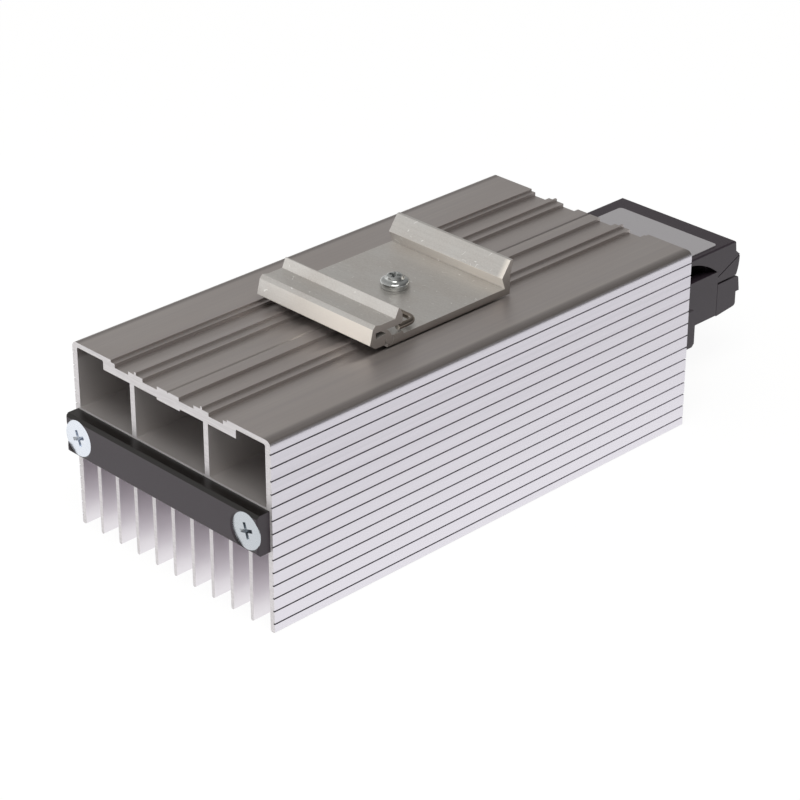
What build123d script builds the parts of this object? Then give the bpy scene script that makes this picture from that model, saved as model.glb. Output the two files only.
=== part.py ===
from build123d import *
import math
import os

# Enclosure heater for a 35 mm top-hat rail. Millimetres, +Z up. It lies on its fin tips (Z 0).
# X runs across the fins, Y from the end bar to the terminal box. The origin is the centre of the
# whole heater's footprint.

os.makedirs("parts", exist_ok=True)

# Heat sink: one aluminium extrusion along Y
sink_width = 78.0
sink_height = 55.5
sink_length = 159.5
corner_radius = 1.8
side_wall = 2.0

# Grooves along both sides
groove_count = 14
groove_pitch = 3.782
groove_lowest = 2.75
groove_width = 0.45
groove_depth = 0.45

# Fins under the heater channel, the two side walls being the outermost
fin_count = 11
fin_root = 1.5
fin_tip = 1.1
fin_tip_bevel = 0.35
fin_length = 23.8

# Heater channel and its screw ports
channel_floor = 1.8
channel_height = 8.0
channel_width = 24.0
channel_wall = 1.8
channel_roof = 2.55
port_inset = 5.5
port_bore = 4.6
port_post = 8.4
earth_port_x = -16.5
earth_port_bore = 3.3
earth_port_post = 6.6

# Air ducts above the channel
web = 1.8
web_spacing = 29.0
skin = 1.4
thick_skin = 4.0
thick_skin_width = 52.2
boss_width = 9.0
boss_drop = 4.6
duct_radius = 0.5

# Relief of the back, which the rail clip bears on
relief_width = 45.6
relief_depth = 0.65
bed_width = 42.6
bed_depth = 0.75
flute_depth = 1.75
outer_land_inner = 10.05
outer_land_outer = 15.8
centre_land_width = 8.6
rib_spacing = 26.0
rib_width = 0.7
notch_width = 0.8
notch_depth = 0.45

# End bar and the flange of the terminal base: same outline and screws, but smaller heads at the
# flange, which leave its ends whole
bar_inset = 0.9
bar_height = 11.8
bar_thickness = 4.3
bar_bevel = 0.9
bar_end_bevel = 0.35
countersink_diameter = 11.2
flange_countersink = 8.2
head_sink = 0.35
clearance_hole = 5.6
shank_diameter = 4.5
shank_length = 20.0
cross_span = 5.3
flange_cross_span = 3.8
cross_slot = 1.15
cross_depth = 2.0

# Heating element in the channel
pressure_plate_thickness = 2.4
pressure_plate_width = 22.0
pressure_plate_bevel = 0.4
sleeve_width = 23.2
sleeve_wall = 0.6
sleeve_length = 134.0
strip_thickness = 0.8
strip_width = 19.6
strip_length = 130.0
tab_width = 4.6
tab_setback = 3.0
stone_count = 5
stone_length = 24.0
stone_width = 18.0
stone_gap = 1.0

# Terminal box behind the heat sink. Lengths along Y are from the heat sink's rear end
box_width = 45.0
box_bottom = 18.2
box_rear = 33.5
box_wall = 2.0
ledge = 32.7
spigot_width = 41.2
spigot_wall = 1.5
spigot_top = 38.4
cover_top = 40.4
cover_fit = 0.1
cover_rear = 41.1
cover_edge_radius = 0.6
cover_neck = 41.5
cover_neck_height = 37.0
lip_reach = 43.3
lip_height = 35.4
bridge_bottom = 29.0
bridge_rear = 42.1
bridge_bulge = 0.4
seam = 0.15
lid_seam = 0.35
seam_front_height = 31.1
box_mouth_width = 34.0
box_mouth_bottom = 25.0
box_mouth_top = 34.4
flange_window = 41.4
gap_front = 8.0
gap_tip = 33.1
gap_middle = 27.9
gap_middle_height = 36.2
gap_top = 21.5
label_left = 17.5
label_right = 20.6
label_front = 6.3
label_rear = 34.6
label_thickness = 0.2

# Strain relief at the rear end of the box
clamp_reach = 43.9
clamp_top = 28.35
clamp_bottom = 17.9
clamp_rise = 0.9
clamp_lower_rear = 42.4
clamp_step = 23.3
clamp_lean = 0.7
clamp_rounding = 1.0
same_height = 0.01
cable_bore = 7.0
cable_height = 27.0
clamp_screw_spacing = 24.0
clamp_screw_y = 38.5
clamp_screw_diameter = 3.0
clamp_screw_head = 5.4
clamp_screw_head_height = 2.0
clamp_screw_length = 12.0

# Terminal block in the box
pole_pitch = 7.4
block_front = 11.0
block_length = 18.0
block_height = 16.0
block_bevel = 1.5
cage_length = 10.0
cage_wall = 1.1
cage_fit = 0.1
terminal_screw_diameter = 2.8
terminal_screw_length = 3.0
lead_start = 8.0
lead_end = 22.0

# Earth connection
lug_ring = 8.0
lug_thickness = 0.8
lug_hole = 4.3
lug_wall = 0.5
lug_barrel_end = 5.3
earth_screw_diameter = 3.2
earth_screw_head = 7.0
earth_screw_head_height = 2.4
earth_screw_length = 10.0

# Rail clip. Lengths along Y are from the heat sink's front end, heights from its back
clip_width = 44.0
plate_thickness = 2.1
knuckle_rear = 62.0
knuckle_height = 2.95
knuckle_slope = 0.5
pivot_y = 57.4
pivot_height = 1.9
bulb_radius = 1.35
pivot_clearance = 0.05
socket_lip = 1.0
groove_root = 100.9
rail_slot = 1.25
far_nose = 99.75
far_nose_height = 5.4
far_nose_edge = 0.2
far_top = 103.0
jaw_height = 10.0
far_wall = 2.0
far_top_width = 0.9
clip_screw_y = 80.6
clip_washer_diameter = 7.5
clip_washer_thickness = 0.9
washer_bore = 4.3
plate_hole = 4.5
clip_screw_diameter = 4.0
clip_head_diameter = 8.2
clip_head_top = 3.9
clip_head_height = 2.7
clip_head_rim = 1.0
clip_cross_span = 3.6
clip_cross_slot = 0.9
clip_screw_depth = 4.2
spring_wire = 1.75
spring_y = 67.6
spring_height = 4.1
spring_end = 60.9
spring_bend = 2.5

# Front jaw. Lengths along Y are from its pivot, heights from the heat sink's back
jaw_gap = 1.0
jaw_sole_front = 5.3
jaw_sole_rear = 2.1
jaw_sole_edge = 1.3
jaw_neck_height = 2.5
jaw_neck_foot = 0.6
jaw_neck_rear = 0.4
jaw_throat = 1.2
jaw_throat_height = 4.7
jaw_roof_height = 5.27
jaw_lip_rear = 4.6
jaw_lip_head = 8.1
jaw_lip_slope = 1.1
jaw_lip_top = 0.3
jaw_lip_radius = 0.8
jaw_deck_rear = 1.9
jaw_deck_front = 3.3
jaw_deck_height = 7.3
jaw_rim = 5.3
jaw_rim_height = 7.8
jaw_shoulder = 6.7
jaw_shoulder_height = 6.8
jaw_nose = 7.25
jaw_nose_height = 4.5
chamber_front = 5.1
chamber_back = 3.4
chamber_tip = 1.5
chamber_low = 3.8
chamber_high = 5.5
chamber_tip_height = 4.3

# Places worked out from the sizes above
fin_pitch = (sink_width - side_wall) / (fin_count - 1)
channel_bottom = fin_length + channel_floor
channel_top = channel_bottom + channel_height
duct_floor = channel_top + channel_roof
port_x = sink_width / 2 - port_inset
port_z = channel_bottom + channel_height / 2
y_front = -(sink_length + clamp_reach - bar_thickness) / 2
y_back = y_front + sink_length
y_middle = y_front + sink_length / 2
bar_z = fin_length + bar_height / 2
bar_width = sink_width - 2 * bar_inset
front_head_radius = countersink_diameter / 2 - head_sink
rear_head_radius = flange_countersink / 2 - head_sink


def span(x0, x1, y0, y1, mode=Mode.ADD):
    """Draw the rectangle between two limits across and two limits up."""
    with Locations(((x0 + x1) / 2, (y0 + y1) / 2)):
        Rectangle(x1 - x0, y1 - y0, mode=mode)


def moved(points, dy, dz):
    """The points moved by dy along and dz up."""
    return [(y + dy, z + dz) for y, z in points]


def outline(points, dy=0.0, dz=0.0, mode=Mode.ADD):
    """Draw a straight-sided outline whose points are moved by dy and dz."""
    Polygon(*moved(points, dy, dz), align=None, mode=mode)


def section(y):
    """The plane across the heater at y: sketch X is X, sketch Y is Z, and it faces the front."""
    return Plane.XZ.offset(-y)


def facing(points, direction):
    """One plane for each point, all facing the same way."""
    return [Plane(origin=point, z_dir=direction) for point in points]


def countersunk_screws(places, head_radius, recess):
    """Countersunk screws whose heads lie sunk below each place, with a cross recess of that span."""
    top = (Align.CENTER, Align.CENTER, Align.MAX)
    cone_height = head_radius - shank_diameter / 2
    with Locations(*places):
        with Locations((0, 0, -head_sink)):
            Cone(shank_diameter / 2, head_radius, cone_height, align=top)
            Cylinder(shank_diameter / 2, shank_length, align=top)
            Box(recess, cross_slot, cross_depth, align=top, mode=Mode.SUBTRACT)
            Box(cross_slot, recess, cross_depth, align=top, mode=Mode.SUBTRACT)


def pan_screws(places, diameter, length, head, head_height):
    """Pan-head screws whose heads stand on each place."""
    with Locations(*places):
        Cylinder(diameter / 2, length, align=(Align.CENTER, Align.CENTER, Align.MAX))
        Cylinder(head / 2, head_height, align=(Align.CENTER, Align.CENTER, Align.MIN))


# Heat sink: walls, ducts, heater channel, screw ports and fins, all one section
with BuildPart() as heat_sink:
    with BuildSketch(section(y_front)) as sink_section:
        span(-sink_width / 2, sink_width / 2, 0, sink_height)
        fillet(sink_section.vertices().group_by(Axis.Y)[-1], corner_radius)
        # grooves of both sides
        with Locations(*[(side * sink_width / 2, groove_lowest + i * groove_pitch)
                         for side in (-1, 1) for i in range(groove_count)]):
            Rectangle(2 * groove_depth, groove_width, mode=Mode.SUBTRACT)
        # gaps between the fins, wider at the tips
        with GridLocations(fin_pitch, 0, fin_count - 1, 1):
            Polygon((-(fin_pitch - fin_tip) / 2, 0), ((fin_pitch - fin_tip) / 2, 0),
                    ((fin_pitch - fin_root) / 2, fin_length), (-(fin_pitch - fin_root) / 2, fin_length),
                    align=None, mode=Mode.SUBTRACT)
        chamfer(sink_section.vertices().group_by(Axis.Y)[0], fin_tip_bevel)
        # heater channel, and the hollows beside it that leave the screw ports standing
        span(-channel_width / 2, channel_width / 2, channel_bottom, channel_top, Mode.SUBTRACT)
        with BuildSketch(mode=Mode.SUBTRACT) as side_hollows:
            span(-port_x, port_x, channel_bottom, channel_top)
            shoulder = channel_width / 2 + channel_wall
            span(-shoulder, shoulder, channel_bottom, channel_top, Mode.SUBTRACT)
            with Locations((-port_x, port_z), (port_x, port_z)):
                Rectangle(port_post, channel_height, mode=Mode.SUBTRACT)
            with Locations((earth_port_x, port_z)):
                Rectangle(earth_port_post, channel_height, mode=Mode.SUBTRACT)
        with Locations((-port_x, port_z), (port_x, port_z)):
            Circle(port_bore / 2, mode=Mode.SUBTRACT)
        with Locations((earth_port_x, port_z)):
            Circle(earth_port_bore / 2, mode=Mode.SUBTRACT)
        # three air ducts, with a thicker roof under the rail clip
        with BuildSketch(mode=Mode.SUBTRACT) as ducts:
            span(side_wall - sink_width / 2, sink_width / 2 - side_wall, duct_floor, sink_height - skin)
            span(-thick_skin_width / 2, thick_skin_width / 2, sink_height - thick_skin,
                 sink_height - skin, Mode.SUBTRACT)
            span(-boss_width / 2, boss_width / 2, sink_height - boss_drop,
                 sink_height - thick_skin, Mode.SUBTRACT)
            for side in (-1, 1):
                web_x = side * web_spacing / 2
                span(web_x - web / 2, web_x + web / 2, duct_floor, sink_height, Mode.SUBTRACT)
            corner_rows = ducts.vertices().group_by(Axis.Y)
            fillet(corner_rows[0] + corner_rows[-1], duct_radius)
        # relief of the back: bed, flutes, lands and the two ribs that carry the clip
        with BuildSketch(mode=Mode.SUBTRACT) as relief:
            span(-relief_width / 2, relief_width / 2, sink_height - relief_depth, sink_height)
            span(-bed_width / 2, bed_width / 2, sink_height - flute_depth, sink_height)
            span(-centre_land_width / 2, centre_land_width / 2, sink_height - flute_depth,
                 sink_height - bed_depth, Mode.SUBTRACT)
            for side in (-1, 1):
                inner, outer = sorted((side * outer_land_inner, side * outer_land_outer))
                span(inner, outer, sink_height - flute_depth, sink_height - bed_depth, Mode.SUBTRACT)
                rib_x = side * rib_spacing / 2
                span(rib_x - rib_width / 2, rib_x + rib_width / 2, sink_height - bed_depth,
                     sink_height, Mode.SUBTRACT)
            land = sink_height - bed_depth
            Polygon((-notch_width / 2, land), (0, land - notch_depth), (notch_width / 2, land),
                    align=None)
    extrude(amount=-sink_length)
    # tapped hole for the clip's screw
    with Locations((0, y_front + clip_screw_y, sink_height)):
        Cylinder(clip_screw_diameter / 2, boss_drop, align=(Align.CENTER, Align.CENTER, Align.MAX),
                 mode=Mode.SUBTRACT)
heat_sink.part.label = "heat_sink"
export_step(heat_sink.part, "parts/heat_sink.step")

# End bar: closes the channel at the front
front_screw_places = facing([(side * port_x, y_front - bar_thickness, port_z) for side in (-1, 1)],
                            (0, -1, 0))
with BuildPart() as front_end_bar:
    with BuildSketch(section(y_front)):
        with Locations((0, bar_z)):
            Rectangle(bar_width, bar_height)
    extrude(amount=bar_thickness)
    chamfer(front_end_bar.faces().sort_by(Axis.Y)[0].edges().filter_by(Axis.X), bar_bevel)
    chamfer(front_end_bar.faces().sort_by(Axis.Y)[0].edges().filter_by(Axis.Z), bar_end_bevel)
    with Locations(*front_screw_places):
        CounterSinkHole(clearance_hole / 2, countersink_diameter / 2, counter_sink_angle=90)
front_end_bar.part.label = "front_end_bar"
export_step(front_end_bar.part, "parts/front_end_bar.step")

with BuildPart() as front_bar_screws:
    countersunk_screws(front_screw_places, front_head_radius, cross_span)
front_bar_screws.part.label = "front_bar_screws"
export_step(front_bar_screws.part, "parts/front_bar_screws.step")

# Pressure plate: lies on the channel floor and presses the element against its roof
with BuildPart() as pressure_plate:
    with BuildSketch(Plane.XY.offset(channel_bottom)):
        with Locations((0, y_middle)):
            Rectangle(pressure_plate_width, sleeve_length)
    extrude(amount=pressure_plate_thickness)
    chamfer(pressure_plate.edges().filter_by(Axis.Y), pressure_plate_bevel)
pressure_plate.part.label = "pressure_plate"
export_step(pressure_plate.part, "parts/pressure_plate.step")

# Insulation sleeve: folded flat round strips and stones
sleeve_bottom = channel_bottom + pressure_plate_thickness
sleeve_height = channel_height - pressure_plate_thickness
sleeve_inside = sleeve_height - 2 * sleeve_wall
with BuildPart() as insulation_sleeve:
    with BuildSketch(section(y_middle - sleeve_length / 2)):
        with Locations((0, sleeve_bottom + sleeve_height / 2)):
            Rectangle(sleeve_width, sleeve_height)
            Rectangle(sleeve_width - 2 * sleeve_wall, sleeve_inside, mode=Mode.SUBTRACT)
    extrude(amount=-sleeve_length)
insulation_sleeve.part.label = "insulation_sleeve"
export_step(insulation_sleeve.part, "parts/insulation_sleeve.step")

# Contact strips: each is a flat band with one narrow tab at the rear, in line with its terminal
lower_strip_z = sleeve_bottom + sleeve_wall
stone_z = lower_strip_z + strip_thickness
stone_height = sleeve_inside - 2 * strip_thickness
upper_strip_z = stone_z + stone_height
tab_rear = y_back - tab_setback
with BuildPart() as contact_strip_lower:
    with BuildSketch(Plane.XY.offset(lower_strip_z)):
        span(-strip_width / 2, strip_width / 2, y_middle - strip_length / 2, y_middle + strip_length / 2)
        span(-tab_width / 2, tab_width / 2, y_middle, tab_rear)
    extrude(amount=strip_thickness)
contact_strip_lower.part.label = "contact_strip_lower"
export_step(contact_strip_lower.part, "parts/contact_strip_lower.step")

with BuildPart() as contact_strip_upper:
    with BuildSketch(Plane.XY.offset(upper_strip_z)):
        span(-strip_width / 2, strip_width / 2, y_middle - strip_length / 2, y_middle + strip_length / 2)
        span(pole_pitch - tab_width / 2, pole_pitch + tab_width / 2, y_middle, tab_rear)
    extrude(amount=strip_thickness)
contact_strip_upper.part.label = "contact_strip_upper"
export_step(contact_strip_upper.part, "parts/contact_strip_upper.step")

# Heating stones: ceramic blocks in a row between the strips
with BuildPart() as ptc_elements:
    with BuildSketch(Plane.XY.offset(stone_z)):
        with Locations((0, y_middle)):
            with GridLocations(0, stone_length + stone_gap, 1, stone_count):
                Rectangle(stone_width, stone_length)
    extrude(amount=stone_height)
ptc_elements.part.label = "ptc_elements"
export_step(ptc_elements.part, "parts/ptc_elements.step")

# Wedge-shaped gap in both sides of the box, through the cover and the spigot under it
gap_roof = spigot_top + cover_fit
gap_high = (y_back + gap_top, gap_roof)
gap_crown = (y_back + gap_middle, gap_middle_height)
gap_rear = (y_back + gap_tip, ledge)
gap_corners = [gap_high, (y_back + gap_front, gap_roof), (y_back + gap_front, ledge), gap_rear]

# Terminal base: flange, lower box, spigot for the cover and the bridge over the cable bore
rear_screw_places = facing([(side * port_x, y_back + bar_thickness, port_z) for side in (-1, 1)],
                           (0, 1, 0))
clamp_screw_places = facing([(side * clamp_screw_spacing / 2, y_back + clamp_screw_y,
                              clamp_bottom + clamp_screw_head_height) for side in (-1, 1)], (0, 0, -1))
with BuildPart() as terminal_base:
    with BuildSketch(section(y_back)):
        with Locations((0, bar_z)):
            Rectangle(bar_width, bar_height)
    extrude(amount=-bar_thickness)
    chamfer(terminal_base.faces().sort_by(Axis.Y)[-1].edges().filter_by(Axis.X), bar_bevel)
    with BuildSketch(Plane.YZ):
        with BuildLine():
            bridge_low = (y_back + bridge_rear, bridge_bottom)
            bridge_high = (y_back + lip_reach, lip_height - lid_seam)
            bridge_middle = (y_back + (bridge_rear + lip_reach) / 2 + bridge_bulge,
                             (bridge_bottom + lip_height) / 2)
            Polyline(bridge_low, (y_back + box_rear, bridge_bottom), (y_back + box_rear, box_bottom),
                     (y_back + bar_thickness / 2, box_bottom), (y_back + bar_thickness / 2, ledge),
                     (y_back + box_rear, ledge), (y_back + box_rear, seam_front_height - lid_seam),
                     bridge_high)
            ThreePointArc(bridge_high, bridge_middle, bridge_low)
        make_face()
    extrude(amount=box_width / 2, both=True)
    with BuildSketch(Plane.XY.offset(ledge)):
        span(-spigot_width / 2, spigot_width / 2, y_back + bar_thickness, y_back + box_rear)
    extrude(amount=spigot_top - ledge)
    # inside of the box, open at the top
    inside = spigot_width / 2 - spigot_wall
    with BuildSketch(Plane.XY.offset(box_bottom + box_wall)):
        span(-inside, inside, y_back + bar_thickness + box_wall, y_back + box_rear - box_wall)
    extrude(amount=spigot_top, mode=Mode.SUBTRACT)
    # gaps in the spigot's sides
    for side in (-1, 1):
        with BuildSketch(Plane.YZ.offset(side * inside)):
            with BuildLine():
                Polyline(*gap_corners)
                ThreePointArc(gap_rear, gap_crown, gap_high)
            make_face()
        extrude(amount=side * box_width, mode=Mode.SUBTRACT)
    # mouth towards the channel, wider in the flange where the earth screw sits
    with BuildSketch(section(y_back)):
        span(-box_mouth_width / 2, box_mouth_width / 2, box_mouth_bottom, box_mouth_top)
    extrude(amount=-bar_thickness - box_wall, mode=Mode.SUBTRACT)
    with BuildSketch(section(y_back)):
        span(-flange_window / 2, flange_window / 2, box_mouth_bottom, box_mouth_top)
    extrude(amount=-bar_thickness, mode=Mode.SUBTRACT)
    # cable bore, shared with the strain relief below it
    with BuildSketch(section(y_back + clamp_reach)):
        with Locations((0, cable_height)):
            Circle(cable_bore / 2)
    extrude(amount=clamp_reach - box_rear + box_wall, mode=Mode.SUBTRACT)
    with Locations(*rear_screw_places):
        CounterSinkHole(clearance_hole / 2, flange_countersink / 2, bar_thickness,
                        counter_sink_angle=90)
    with Locations(*clamp_screw_places):
        Cylinder(clamp_screw_diameter / 2, clamp_screw_length,
                 align=(Align.CENTER, Align.CENTER, Align.MAX), mode=Mode.SUBTRACT)
terminal_base.part.label = "terminal_base"
export_step(terminal_base.part, "parts/terminal_base.step")

with BuildPart() as rear_flange_screws:
    countersunk_screws(rear_screw_places, rear_head_radius, flange_cross_span)
rear_flange_screws.part.label = "rear_flange_screws"
export_step(rear_flange_screws.part, "parts/rear_flange_screws.step")

# Terminal cover: snaps over the spigot. A wedge-shaped gap is left open in each side
with BuildPart() as terminal_cover:
    with BuildSketch(Plane.YZ) as cover_side:
        outline([(bar_thickness, ledge), (box_rear, ledge), (box_rear, seam_front_height),
                 (lip_reach, lip_height), (cover_neck, cover_neck_height), (cover_rear, cover_top),
                 (bar_thickness, cover_top)], dy=y_back)
    extrude(amount=box_width / 2, both=True)
    fillet(terminal_cover.faces().sort_by(Axis.Z)[-1].edges(), cover_edge_radius)
    # hollow over the spigot
    hollow = spigot_width / 2 + cover_fit
    with BuildSketch(Plane.XY.offset(gap_roof)):
        span(-hollow, hollow, y_back + bar_thickness, y_back + box_rear + cover_fit)
    extrude(amount=-box_width, mode=Mode.SUBTRACT)
    # wedge-shaped gaps
    with BuildSketch(Plane.YZ):
        with BuildLine():
            Polyline(*gap_corners)
            ThreePointArc(gap_rear, gap_crown, gap_high)
        make_face()
    extrude(amount=box_width, both=True, mode=Mode.SUBTRACT)
terminal_cover.part.label = "terminal_cover"
export_step(terminal_cover.part, "parts/terminal_cover.step")

# Label on the cover, bare, nearer to one side of it
with BuildPart() as label_plate:
    with BuildSketch(Plane.XY.offset(cover_top)):
        span(-label_left, label_right, y_back + label_front, y_back + label_rear)
    extrude(amount=label_thickness)
label_plate.part.label = "label_plate"
export_step(label_plate.part, "parts/label_plate.step")

# Strain relief: a block drawn up against the bridge by two screws, with half of the cable bore
with BuildPart() as cable_clamp:
    with BuildSketch(Plane.YZ) as clamp_side:
        outline([(box_rear + seam, clamp_bottom), (clamp_lower_rear, clamp_bottom + clamp_rise),
                 (clamp_lower_rear, clamp_step), (clamp_reach, clamp_step),
                 (clamp_reach - clamp_lean, clamp_top), (box_rear + seam, clamp_top)], dy=y_back)
        rounded = clamp_side.vertices().filter_by(
            lambda v: v.X > y_back + box_rear + 1 and abs(v.Y - clamp_step) > same_height)
        fillet(rounded, clamp_rounding)
    extrude(amount=box_width / 2, both=True)
    with BuildSketch(section(y_back + clamp_reach)):
        with Locations((0, cable_height)):
            Circle(cable_bore / 2)
    extrude(amount=clamp_reach, both=True, mode=Mode.SUBTRACT)
    with Locations(*clamp_screw_places):
        Cylinder(clamp_screw_diameter / 2 + cage_fit, clamp_screw_length,
                 align=(Align.CENTER, Align.CENTER, Align.MAX), mode=Mode.SUBTRACT)
        Cylinder(clamp_screw_head / 2 + cage_fit, 2 * clamp_screw_head_height,
                 align=(Align.CENTER, Align.CENTER, Align.MIN), mode=Mode.SUBTRACT)
cable_clamp.part.label = "cable_clamp"
export_step(cable_clamp.part, "parts/cable_clamp.step")

with BuildPart() as cable_clamp_screws:
    pan_screws(clamp_screw_places, clamp_screw_diameter, clamp_screw_length, clamp_screw_head,
               clamp_screw_head_height)
cable_clamp_screws.part.label = "cable_clamp_screws"
export_step(cable_clamp_screws.part, "parts/cable_clamp_screws.step")

# Terminal block: an insulating body with one cage and one screw for each pole, in line with the tabs
pole_height = stone_z + stone_height / 2
lead_diameter = stone_height
window = lead_diameter + 2 * cage_fit
cage_size = window + 2 * cage_wall
cage_top = pole_height + cage_size / 2
block_floor = box_bottom + box_wall
block_top = block_floor + block_height
block_y = y_back + block_front + block_length / 2
pole_places = [(side * pole_pitch, pole_height) for side in (-1, 0, 1)]
screw_spots = [(side * pole_pitch, block_y) for side in (-1, 0, 1)]
with BuildPart() as terminal_block:
    with BuildSketch(Plane.XY.offset(block_floor)):
        with Locations((0, block_y)):
            Rectangle(3 * pole_pitch, block_length)
    extrude(amount=block_height)
    chamfer(terminal_block.faces().sort_by(Axis.Z)[-1].edges().filter_by(Axis.X), block_bevel)
    with BuildSketch(section(block_y)):
        with Locations(*pole_places):
            Rectangle(cage_size + 2 * cage_fit, cage_size + 2 * cage_fit)
    extrude(amount=cage_length / 2 + cage_fit, both=True, mode=Mode.SUBTRACT)
    with BuildSketch(section(block_y)):
        with Locations(*pole_places):
            Rectangle(window, window)
    extrude(amount=block_length, both=True, mode=Mode.SUBTRACT)
    with BuildSketch(Plane.XY.offset(block_top)):
        with Locations(*screw_spots):
            Circle(terminal_screw_diameter / 2 + cage_fit)
    extrude(amount=cage_top - block_top, mode=Mode.SUBTRACT)
terminal_block.part.label = "terminal_block"
export_step(terminal_block.part, "parts/terminal_block.step")

with BuildPart() as terminal_cages:
    with BuildSketch(section(block_y)):
        with Locations(*pole_places):
            Rectangle(cage_size, cage_size)
            Rectangle(window, window, mode=Mode.SUBTRACT)
    extrude(amount=cage_length / 2, both=True)
    with BuildSketch(Plane.XY.offset(cage_top)):
        with Locations(*screw_spots):
            Circle(terminal_screw_diameter / 2 + cage_fit)
    extrude(amount=-cage_wall, mode=Mode.SUBTRACT)
terminal_cages.part.label = "terminal_cages"
export_step(terminal_cages.part, "parts/terminal_cages.step")

# Their screws are headless and end on the leads
with BuildPart() as terminal_screws:
    with BuildSketch(Plane.XY.offset(pole_height + lead_diameter / 2)):
        with Locations(*screw_spots):
            Circle(terminal_screw_diameter / 2)
    extrude(amount=terminal_screw_length)
terminal_screws.part.label = "terminal_screws"
export_step(terminal_screws.part, "parts/terminal_screws.step")

# Leads: straight, from between the strips' tabs and from the earth lug into the cages
with BuildPart() as lead_live:
    with BuildSketch(section(y_back - lead_start)):
        with Locations((pole_pitch, pole_height)):
            Circle(lead_diameter / 2)
    extrude(amount=-lead_start - lead_end)
lead_live.part.label = "lead_live"
export_step(lead_live.part, "parts/lead_live.step")

with BuildPart() as lead_neutral:
    with BuildSketch(section(y_back - lead_start)):
        with Locations((0, pole_height)):
            Circle(lead_diameter / 2)
    extrude(amount=-lead_start - lead_end)
lead_neutral.part.label = "lead_neutral"
export_step(lead_neutral.part, "parts/lead_neutral.step")

with BuildPart() as lead_earth:
    with BuildSketch(section(y_back + lug_thickness)):
        with Locations((-pole_pitch, pole_height)):
            Circle(lead_diameter / 2)
    extrude(amount=lug_thickness - lead_end)
lead_earth.part.label = "lead_earth"
export_step(lead_earth.part, "parts/lead_earth.step")

# Earth connection: a ring lug with an upright barrel, screwed to the heat sink's third port
barrel = lead_diameter + 2 * lug_wall
with BuildPart() as earth_lug:
    with BuildSketch(section(y_back)):
        with Locations((earth_port_x, port_z)):
            Circle(lug_ring / 2)
        span(earth_port_x, barrel / 2 - pole_pitch, pole_height - barrel / 2, pole_height + barrel / 2)
        with Locations((earth_port_x, port_z)):
            Circle(lug_hole / 2, mode=Mode.SUBTRACT)
    extrude(amount=-lug_thickness)
    with BuildSketch(section(y_back + lug_thickness)):
        with Locations((-pole_pitch, pole_height)):
            Circle(barrel / 2)
            Circle(lead_diameter / 2 + pivot_clearance, mode=Mode.SUBTRACT)
    extrude(amount=lug_thickness - lug_barrel_end)
earth_lug.part.label = "earth_lug"
export_step(earth_lug.part, "parts/earth_lug.step")

earth_screw_places = facing([(earth_port_x, y_back + lug_thickness, port_z)], (0, 1, 0))
with BuildPart() as earth_screw:
    pan_screws(earth_screw_places, earth_screw_diameter, earth_screw_length, earth_screw_head,
               earth_screw_head_height)
earth_screw.part.label = "earth_screw"
export_step(earth_screw.part, "parts/earth_screw.step")

# Clip plate: one extrusion with the front jaw's socket and the fixed far jaw. The lips of the socket
# are where the outline meets the circle
pivot = (y_front + pivot_y, sink_height + pivot_height)
with BuildPart() as clip_plate:
    with BuildSketch(Plane.YZ) as clip_section:
        rail_roof = plate_thickness + rail_slot
        outline([(pivot_y - socket_lip, 0), (groove_root + far_wall, 0),
                 (groove_root + far_wall, far_nose_height),
                 (far_top + far_top_width, jaw_height - far_top_width),
                 (far_top + far_top_width, jaw_height),
                 (far_top, jaw_height), (far_nose, far_nose_height), (far_nose, rail_roof + far_nose_edge),
                 (far_nose + far_nose_edge, rail_roof), (groove_root, rail_roof),
                 (groove_root, plate_thickness), (knuckle_rear + knuckle_slope, plate_thickness),
                 (knuckle_rear, knuckle_height), (pivot_y, knuckle_height), (pivot_y, pivot_height),
                 (pivot_y - socket_lip, pivot_height)], dy=y_front, dz=sink_height)
        with Locations(pivot):
            Circle(bulb_radius + pivot_clearance, mode=Mode.SUBTRACT)
    extrude(amount=clip_width / 2, both=True)
    with Locations((0, y_front + clip_screw_y, sink_height)):
        Cylinder(plate_hole / 2, 2 * plate_thickness, mode=Mode.SUBTRACT)
clip_plate.part.label = "clip_plate"
export_step(clip_plate.part, "parts/clip_plate.step")

# Front jaw: a second extrusion. Its round foot turns in the socket, its arm roofs the spring's slot
with BuildPart() as clip_jaw:
    with BuildSketch(Plane.YZ) as jaw_section:
        neck_foot_height = pivot_height + math.sqrt(bulb_radius ** 2 - jaw_neck_foot ** 2)
        lip_top_rear = jaw_lip_rear - jaw_lip_slope
        jaw_corners = moved([(-jaw_sole_front, jaw_gap), (-jaw_sole_rear, jaw_gap),
                             (-jaw_sole_edge, jaw_neck_height), (0, pivot_height),
                             (jaw_neck_foot, neck_foot_height), (-jaw_neck_rear, jaw_throat_height),
                             (-jaw_throat, jaw_roof_height), (jaw_lip_rear, jaw_roof_height),
                             (jaw_lip_rear, jaw_lip_head), (lip_top_rear, jaw_height),
                             (lip_top_rear - jaw_lip_top, jaw_height), (jaw_deck_rear, jaw_deck_height),
                             (-jaw_deck_front, jaw_deck_height), (-jaw_rim, jaw_rim_height),
                             (-jaw_shoulder, jaw_shoulder_height)], pivot[0], sink_height)
        nose_tip = (pivot[0] - jaw_nose, sink_height + jaw_nose_height)
        with BuildLine():
            Polyline(*jaw_corners)
            ThreePointArc(jaw_corners[-1], nose_tip, jaw_corners[0])
        make_face()
        fillet(jaw_section.vertices().group_by(Axis.X)[-1], jaw_lip_radius)
        with Locations(pivot):
            Circle(bulb_radius)
        # chamber along the jaw
        outline([(-chamber_front, chamber_low), (-chamber_front, chamber_high),
                 (-chamber_back, chamber_high), (-chamber_tip, chamber_tip_height)],
                dy=pivot[0], dz=sink_height, mode=Mode.SUBTRACT)
    extrude(amount=clip_width / 2, both=True)
clip_jaw.part.label = "clip_jaw"
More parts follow.
